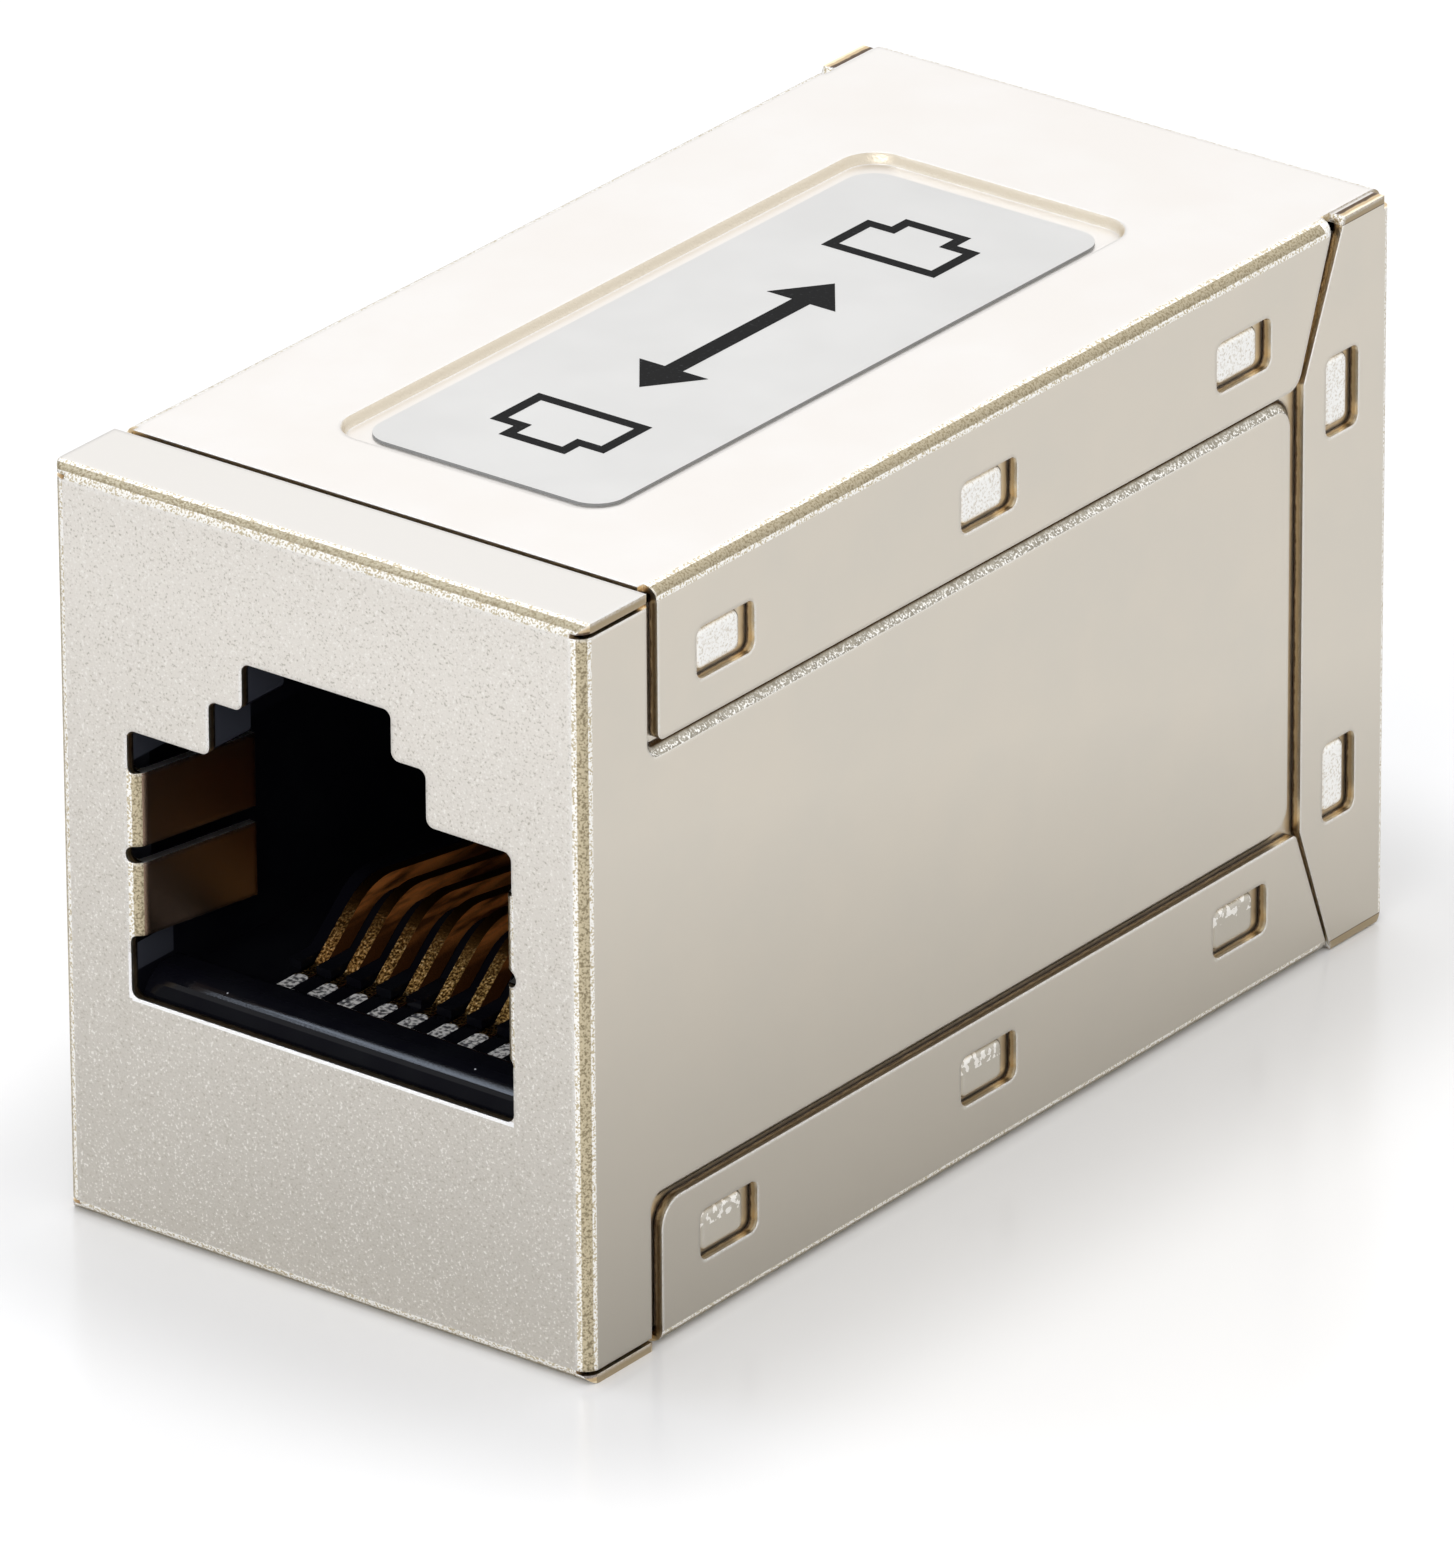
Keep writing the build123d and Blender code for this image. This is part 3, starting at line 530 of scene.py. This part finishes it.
def platedBronze(name):
    finish = contactFinish
    material, tree = newMaterial(name)
    place, (x, y, z) = placeInMm(tree)
    nx, ny, nz = facing(tree)
    fromMiddle = addNode(tree, "Math", {0: y}, operation="ABSOLUTE")
    grit = addNode(tree, "TexNoise", {"Vector": place, "Scale": 1 / finish["grainMm"], "Detail": 3.0})
    crinkle = addNode(tree, "TexNoise", {"Vector": place, "Scale": 1 / finish["crinkleMm"], "Detail": 3.0})
    drawn = addNode(tree, "VectorMath", {0: place, 1: finish["streakStretch"]}, operation="MULTIPLY")
    streak = addNode(tree, "TexNoise", {"Vector": drawn, "Scale": 1 / finish["streakMm"], "Detail": 3.0})
    flank = allOf(tree, (nx, "above", finish["flankFacing"]))
    arch = allOf(tree, (z, *finish["arch"]))
    # Distance from the middle of the nearest contact, and the round end of its tinned foot
    row = addNode(tree, "Math", {0: x, 1: 1 / finish["pitch"]}, operation="MULTIPLY")
    row = addNode(tree, "Math", {0: row}, operation="FRACT")
    row = addNode(tree, "Math", {0: row, 1: 0.5}, operation="SUBTRACT")
    across = addNode(tree, "Math", {0: row, 1: finish["pitch"] / finish["footHalf"]}, operation="MULTIPLY")
    across = addNode(tree, "Math", {0: across, 1: 2.0}, operation="POWER")
    along = addNode(tree, "Math", {0: finish["footEnd"], 1: fromMiddle}, operation="SUBTRACT")
    along = addNode(tree, "Math", {0: along, 1: 0.0}, operation="MAXIMUM")
    along = addNode(tree, "Math", {0: along, 1: 1 / finish["footHalf"]}, operation="MULTIPLY")
    reach = addNode(tree, "Math", {0: along, 1: along, 2: across}, operation="MULTIPLY_ADD")
    tinned = anyOf(
        tree,
        allOf(tree, (reach, "below", finish["footReach"])),
        allOf(tree, (fromMiddle, "below", finish["tailEnd"])),
    )
    gold = layColours(
        tree, finish["gold"],
        ((grit, *finish["goldDarkRange"]), finish["goldDark"]),
        ((grit, *finish["goldLightRange"]), finish["goldLight"]),
        (arch, finish["archTop"]))
    # Painted sheen: bright copper streaks over the brown flank on the arch
    bronze = layColours(
        tree, finish["bronzeDark"],
        (allOf(tree, arch, (streak, *finish["streakRange"])), finish["bronze"]))
    tin = layColours(tree, finish["tin"], ((crinkle, *finish["tinDarkRange"]), finish["tinDark"]))
    colour = layColours(tree, gold, (flank, bronze), (tinned, tin))
    height = layValues(tree, grit, (tinned, crinkle))
    bump = addNode(tree, "Bump", {
        "Strength": finish["relief"], "Distance": finish["reliefMm"] * mm, "Height": height})
    metallic = layValues(
        tree, finish["metallic"], (flank, finish["flankMetallic"]), (tinned, finish["tinMetallic"]))
    rough = layValues(tree, finish["roughness"], (tinned, finish["tinRoughness"]))
    finishMaterial(tree, Base_Color=colour, Metallic=metallic, Roughness=rough, Normal=bump)
    return material


# Polyester film with a pale grey print coat: flat and even, with a dull sheen. The grain of the
# coat is drawn coarser than it is.
labelFinish = {
    "film": "#DCDBD9",
    "filmLow": "#D7D6D4",
    "edge": "#8E9092",
    "edgeFacing": 0.5,
    "cloudMm": 3.33,
    "cloudRange": (0.35, 0.65),
    "grainMm": 0.125,
    "reliefMm": 0.004,
    "relief": 0.15,
    "roughness": 0.45,
}


def polyesterFilm(name):
    finish = labelFinish
    material, tree = newMaterial(name)
    place, _ = placeInMm(tree)
    nx, ny, nz = facing(tree)
    cloud = addNode(tree, "TexNoise", {"Vector": place, "Scale": 1 / finish["cloudMm"], "Detail": 2.0})
    grain = addNode(tree, "TexNoise", {"Vector": place, "Scale": 1 / finish["grainMm"], "Detail": 2.0})
    colour = layColours(
        tree, finish["film"],
        ((cloud, *finish["cloudRange"]), finish["filmLow"]),
        ((nz, "below", finish["edgeFacing"]), finish["edge"]))
    bump = addNode(tree, "Bump", {
        "Strength": finish["relief"], "Distance": finish["reliefMm"] * mm, "Height": grain})
    finishMaterial(tree, Base_Color=colour, Roughness=finish["roughness"], Normal=bump)
    return material


# Screen printing ink: dense black, slightly matt, a little thin in spots.
inkFinish = {
    "ink": "#0A0A0B",
    "thin": "#2A2B2D",
    "speckMm": 0.1,
    "thinRange": (0.6, 0.75),
    "roughness": 0.6,
    "gloss": 0.08,
}


def printInk(name):
    finish = inkFinish
    material, tree = newMaterial(name)
    place, _ = placeInMm(tree)
    speck = addNode(tree, "TexNoise", {"Vector": place, "Scale": 1 / finish["speckMm"], "Detail": 2.0})
    colour = layColours(tree, finish["ink"], ((speck, *finish["thinRange"]), finish["thin"]))
    finishMaterial(tree, Base_Color=colour, Roughness=finish["roughness"],
                   Specular_IOR_Level=finish["gloss"])
    return material


# Glass epoxy laminate under green solder resist: the glass weave just shows through.
boardFinish = {"resist": "#0E3D22", "weave": "#14522F", "weaveMm": 0.4, "roughness": 0.35}


def solderResist(name):
    finish = boardFinish
    material, tree = newMaterial(name)
    place, _ = placeInMm(tree)
    weave = addNode(tree, "TexNoise", {"Vector": place, "Scale": 1 / finish["weaveMm"], "Detail": 1.0})
    colour = layColours(tree, finish["resist"], (weave, finish["weave"]))
    finishMaterial(tree, Base_Color=colour, Roughness=finish["roughness"])
    return material


# Soft solder, set bright with a light frost, which is drawn coarser than it is.
solderFinish = {"solder": "#8F9092", "frost": "#C8C9CA", "frostMm": 0.143, "roughness": 0.3}


def softSolder(name):
    finish = solderFinish
    material, tree = newMaterial(name)
    place, _ = placeInMm(tree)
    frost = addNode(tree, "TexNoise", {"Vector": place, "Scale": 1 / finish["frostMm"], "Detail": 2.0})
    colour = layColours(tree, finish["solder"], (frost, finish["frost"]))
    finishMaterial(tree, Base_Color=colour, Metallic=1.0, Roughness=finish["roughness"])
    return material


finishes = {
    "front_shell": satinNickel("nickel_plated_sheet_front"),
    "rear_shell": satinNickel("nickel_plated_sheet_rear"),
    "jack_housing": mouldedPbt("moulded_pbt_housing", roughness=0.28),
    "contact_carrier": mouldedPbt("moulded_pbt_carrier", roughness=0.12),
    "contact": platedBronze("plated_phosphor_bronze"),
    "label": polyesterFilm("polyester_label_film"),
    "circuit_board": solderResist("solder_resist_laminate"),
    "solder_joints": softSolder("soft_solder"),
}
for name, node in nodes.items():
    key = name if name in finishes else name.removeprefix("front_").removeprefix("rear_")
    key = "contact" if key.startswith("contact_") and key != "contact_carrier" else key
    node.data.materials.clear()
    node.data.materials.append(finishes[key])
print("finishes assigned")

# The carriers as moulded. The CAD solids hold the ribs of the comb in one place at the middle, so
# these pieces cut that stack down to one rib and stand a rib between each two contacts and a cheek
# at each side. Sizes are those of the contacts, in millimetres: lengths from the mouth's face,
# heights from the floor, and the cheeks from the middle.
combSpec = {
    "pitch": 1.016,
    "gaps": 7,
    "ribWidth": 0.496,
    "cheekWidth": 0.4,
    "cheekAt": 4.016,
    "front": 3.92,
    "end": 10.8,
    "foot": 6.2,  # inside the slab
    "tooth": 7.3,
    "riseAngle": 40,
    "rise": (4.53, 6.47),
    "arch": (6.69, 8.282),
    "beam": (10.6, 7.71),
    "archRadius": 1.5,
    "ribAbove": 0.13,
    "cheekAbove": 0.58,
    "trim": 0.01,
    "room": 2.0,  # clearance above what the cutter takes away
    "sharpAngle": 25,
}


# Top line of a rib, from the mouth inwards: a level tooth, the rise, the rounded arch and the beam.
def ribTop(above, steps=8):
    s = combSpec
    slope = math.tan(math.radians(s["riseAngle"]))
    radius = s["archRadius"]
    rise, arch, beam = (Vector((y, z + above)) for y, z in (s["rise"], s["arch"], s["beam"]))
    before = (rise - arch).normalized()
    after = (beam - arch).normalized()
    half = before.angle(after) / 2
    middle = arch + (before + after).normalized() * radius / math.sin(half)
    arms = [arch + way * radius / math.tan(half) - middle for way in (before, after)]
    first, last = (math.atan2(arm.y, arm.x) for arm in arms)
    turns = [first + (last - first) * i / steps for i in range(steps + 1)]
    bend = [(middle.x + radius * math.cos(t), middle.y + radius * math.sin(t)) for t in turns]
    toothEnd = rise.x + (s["tooth"] - rise.y) / slope
    return [(s["front"], s["tooth"]), (toothEnd, s["tooth"]), *bend, (beam.x, beam.y), (s["end"], beam.y)]


# Adds closed prisms of one outline, given from the mouth's face and the floor, at several places.
def addPrisms(build, outline, places, width):
    front = -body["length"] / 2
    for x in places:
        loops = [[build.verts.new((face * mm, (front + y) * mm, z * mm)) for y, z in outline]
                 for face in (x - width / 2, x + width / 2)]
        caps = [build.faces.new(loop) for loop in loops]
        sides = []
        for i in range(len(outline)):
            j = (i + 1) % len(outline)
            sides.append(build.faces.new([loops[0][i], loops[0][j], loops[1][j], loops[1][i]]))
        bmesh.ops.recalc_face_normals(build, faces=caps + sides)


def newPiece(name, build):
    mesh = bpy.data.meshes.new(name)
    build.to_mesh(mesh)
    build.free()
    piece = bpy.data.objects.new(name, mesh)
    scene.collection.objects.link(piece)
    return piece


def combedCarrier(end):
    s = combSpec
    turn = Matrix.Rotation(math.pi if end == "rear" else 0.0, 4, "Z")
    ribLine, cheekLine = (ribTop(s[k]) for k in ("ribAbove", "cheekAbove"))
    # Cut the middle stack down to the height of one rib
    low = [(y, z - s["trim"]) for y, z in ribLine]
    high = s["tooth"] + s["room"]
    taken = [(s["front"] - s["trim"], high), (s["front"] - s["trim"], low[0][1]), *low[1:-1],
             (s["end"] + s["trim"], low[-1][1]), (s["end"] + s["trim"], high)]
    build = bmesh.new()
    addPrisms(build, taken, [0.0], s["ribWidth"] + s["trim"])
    cutter = newPiece("cutter", build)
    cutter.data.transform(turn)
    carved = bpy.data.objects.new("carved", nodes[end + "_contact_carrier"].data.copy())
    scene.collection.objects.link(carved)
    cut = carved.modifiers.new("cut", "BOOLEAN")
    cut.object = cutter
    graph = bpy.context.evaluated_depsgraph_get()
    shaped = bpy.data.meshes.new_from_object(carved.evaluated_get(graph))
    # Ribs and cheeks
    build = bmesh.new()
    others = [(i - (s["gaps"] - 1) / 2) * s["pitch"] for i in range(s["gaps"]) if i != (s["gaps"] - 1) / 2]
    addPrisms(build, [*ribLine, (s["end"], s["foot"]), (s["front"], s["foot"])], others, s["ribWidth"])
    cheeks = [side * s["cheekAt"] for side in (-1, 1)]
    addPrisms(build, [*cheekLine, (s["end"], s["foot"]), (s["front"], s["foot"])], cheeks, s["cheekWidth"])
    bmesh.ops.transform(build, matrix=turn, verts=build.verts)
    build.from_mesh(shaped)
    piece = newPiece(end + "_combed_carrier", build)
    piece.data.shade_smooth()
    piece.data.set_sharp_from_angle(angle=math.radians(s["sharpAngle"]))
    piece.data.materials.clear()
    piece.data.materials.append(finishes["contact_carrier"])
    for spare in (cutter, carved):
        bpy.data.objects.remove(spare)
    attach(piece, "root")
    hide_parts(end + "_contact_carrier")


combedCarrier("front")
combedCarrier("rear")
print("carriers combed")

# Print on the label: a plain arrow with two heads between two plug openings, as fields of ink.
labelPrint = {
    "thickness": 0.006,
    "lift": 0.002,
    "arrowHalf": 4.3,
    "arrowHead": 1.5,
    "headHalf": 1.15,
    "shaftHalf": 0.3,
    "openingAt": 6.2,
    "openingHalf": 1.9,
    "openingDepth": 2.1,
    "stepHalf": 1.1,
    "stepDepth": 2.75,
    "line": 0.34,
}


def printedLabel():
    low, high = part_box("label")
    middle = (low + high) / 2
    s = labelPrint
    a, h, w, t = s["arrowHalf"], s["arrowHead"], s["headHalf"], s["shaftHalf"]
    arrow = [(-a, 0), (-a + h, w), (-a + h, t), (a - h, t), (a - h, w), (a, 0),
             (a - h, -w), (a - h, -t), (-a + h, -t), (-a + h, -w)]
    # The stepped opening, drawn with a line of even width
    b, c, d, e = s["openingHalf"], s["stepHalf"], s["openingDepth"], s["stepDepth"]
    outer, inner = (
        [(g, g - b), (g, b - g), (d - g, b - g), (d - g, c - g),
         (e - g, c - g), (e - g, g - c), (d - g, g - c), (d - g, g - b)] for g in (0, s["line"]))
    build = bmesh.new()
    build.faces.new([build.verts.new((v, u, 0)) for u, v in arrow])
    for end in (-1, 1):
        ring = [[build.verts.new((v, end * (s["openingAt"] + u), 0)) for u, v in loop]
                for loop in (outer, inner)]
        for i in range(len(outer)):
            j = (i + 1) % len(outer)
            build.faces.new([ring[0][i], ring[0][j], ring[1][j], ring[1][i]])
    bmesh.ops.recalc_face_normals(build, faces=build.faces)
    bmesh.ops.reverse_faces(build, faces=[f for f in build.faces if f.normal.z < 0])
    made = bmesh.ops.extrude_face_region(build, geom=list(build.faces))
    tops = [v for v in made["geom"] if isinstance(v, bmesh.types.BMVert)]
    bmesh.ops.translate(build, verts=tops, vec=(0, 0, s["thickness"]))
    bmesh.ops.recalc_face_normals(build, faces=build.faces)
    bmesh.ops.scale(build, vec=(mm, mm, mm), verts=build.verts)
    bmesh.ops.translate(build, vec=(middle.x, middle.y, high.z + s["lift"] * mm), verts=build.verts)
    piece = newPiece("label_print", build)
    piece.data.materials.append(printInk("screen_ink"))
    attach(piece, "root")


printedLabel()
print("label printed")

# Camera of the photograph: seen from the right of the front jack and from above. Angles are in
# degrees and lengths in millimetres.
cameraSpec = {
    "azimuth": 37.53,
    "elevation": 24.98,
    "roll": -0.331,
    "distance": 493.7,
    "aimRight": -0.23,
    "aimUp": -2.32,
    "focalPixels": 18315,
    "longSidePixels": 1563,
    "sensor": 36.0,
    "clip": (0.05, 20),  # in metres
}


def placeCamera():
    s = cameraSpec
    az, el, roll = (math.radians(s[k]) for k in ("azimuth", "elevation", "roll"))
    back = Vector((math.sin(az) * math.cos(el), -math.cos(az) * math.cos(el), math.sin(el)))
    right = Vector((math.cos(az), math.sin(az), 0))
    up = back.cross(right)
    turnedRight = right * math.cos(roll) + up * math.sin(roll)
    turnedUp = up * math.cos(roll) - right * math.sin(roll)
    aim = Vector((0, 0, body["height"] / 2)) + right * s["aimRight"] + up * s["aimUp"]
    data = bpy.data.cameras.new("camera")
    data.sensor_width = s["sensor"]
    data.lens = s["focalPixels"] / s["longSidePixels"] * data.sensor_width
    data.clip_start, data.clip_end = s["clip"]
    camera = bpy.data.objects.new("camera", data)
    turn = Matrix((turnedRight, turnedUp, back)).transposed().to_4x4()
    camera.matrix_world = Matrix.Translation((aim + back * s["distance"]) * mm) @ turn
    scene.collection.objects.link(camera)
    scene.camera = camera


placeCamera()

# Studio: a white room and softboxes. Radiance 1 is the white of the room. Distances and sizes are
# in metres.
roomSpec = {"seen": 1.0, "fill": 0.85}
softboxes = {
    "back_box": {
        "azimuth": 192, "elevation": 52, "distance": 0.8, "size": (1.2, 0.8), "radiance": 0.38,
        "colour": "#FFFFFF"},
    "high_box": {
        "azimuth": -71, "elevation": 54, "distance": 0.8, "size": (0.25, 0.035), "radiance": 16.0,
        "colour": "#DCEAFF"},
    "mouth_box": {
        "azimuth": 18, "elevation": 35, "distance": 0.12, "size": (0.07, 0.07), "radiance": 2.0,
        "colour": "#FFFFFF"},
}


def lightRoom():
    world = bpy.data.worlds.new("room")
    scene.world = world
    world.use_nodes = True
    tree = world.node_tree
    tree.nodes.clear()
    path = addNode(tree, "LightPath").node
    rays = ("Is Camera Ray", "Is Glossy Ray", "Is Transmission Ray")
    seen = anyOf(tree, *(path.outputs[k] for k in rays))
    strength = layValues(tree, roomSpec["fill"], (seen, roomSpec["seen"]))
    background = addNode(tree, "Background", {"Color": (1, 1, 1, 1), "Strength": strength})
    addNode(tree, "OutputWorld", {"Surface": background})
    for name, s in softboxes.items():
        az, el = math.radians(s["azimuth"]), math.radians(s["elevation"])
        away = Vector((math.sin(az) * math.cos(el), -math.cos(az) * math.cos(el), math.sin(el)))
        lamp = bpy.data.lights.new(name, "AREA")
        lamp.shape = "RECTANGLE"
        lamp.size, lamp.size_y = s["size"]
        lamp.energy = s["radiance"] * math.pi * s["size"][0] * s["size"][1]
        lamp.color = linear(s["colour"])[:3]
        box = bpy.data.objects.new(name, lamp)
        box.location = away * s["distance"]
        box.rotation_mode = "QUATERNION"
        box.rotation_quaternion = away.to_track_quat("Z", "Y")
        box.visible_camera = False
        scene.collection.objects.link(box)


lightRoom()

# White acrylic sheet, polished: it shows a faint, soft reflection of the coupler and keeps its shadow.
floorSpec = {
    "half": 3.0,  # in metres
    "colour": "#EDEDEE",
    "roughness": 0.2,
    "glowFar": 0.17,
    "near": 2.0,  # near and far are in millimetres from the coupler's sides
    "far": 9.0,
}


def layFloor():
    mesh = bpy.data.meshes.new("floor")
    h = floorSpec["half"]
    mesh.from_pydata([(-h, -h, 0), (h, -h, 0), (h, h, 0), (-h, h, 0)], [], [(0, 1, 2, 3)])
    floor = bpy.data.objects.new("floor", mesh)
    scene.collection.objects.link(floor)
    material, tree = newMaterial("white_acrylic")
    path = addNode(tree, "LightPath").node
    place, _ = placeInMm(tree)
    # Painted light: a glow that only the camera sees rises away from the coupler's sides, so the floor fades
    # to the white of the room away from the shadow
    plan = addNode(tree, "VectorMath", {0: place}, operation="ABSOLUTE")
    plan = addNode(tree, "VectorMath", {
        0: plan, 1: (body["width"] / 2, body["length"] / 2, 0.0)}, operation="SUBTRACT")
    plan = addNode(tree, "VectorMath", {0: plan, 1: (0.0, 0.0, 0.0)}, operation="MAXIMUM")
    outside = addNode(tree, "VectorMath", {0: plan}, out="Value", operation="LENGTH")
    lift = addNode(tree, "MapRange", {
        "Value": outside, "From Min": floorSpec["near"], "From Max": floorSpec["far"],
        "To Max": floorSpec["glowFar"]}, interpolation_type="SMOOTHSTEP")
    lift = allOf(tree, path.outputs["Is Camera Ray"], lift)
    finishMaterial(tree, Base_Color=linear(floorSpec["colour"]), Roughness=floorSpec["roughness"],
                   Emission_Color=(1, 1, 1, 1), Emission_Strength=lift)
    mesh.materials.append(material)


layFloor()
print("stage set")
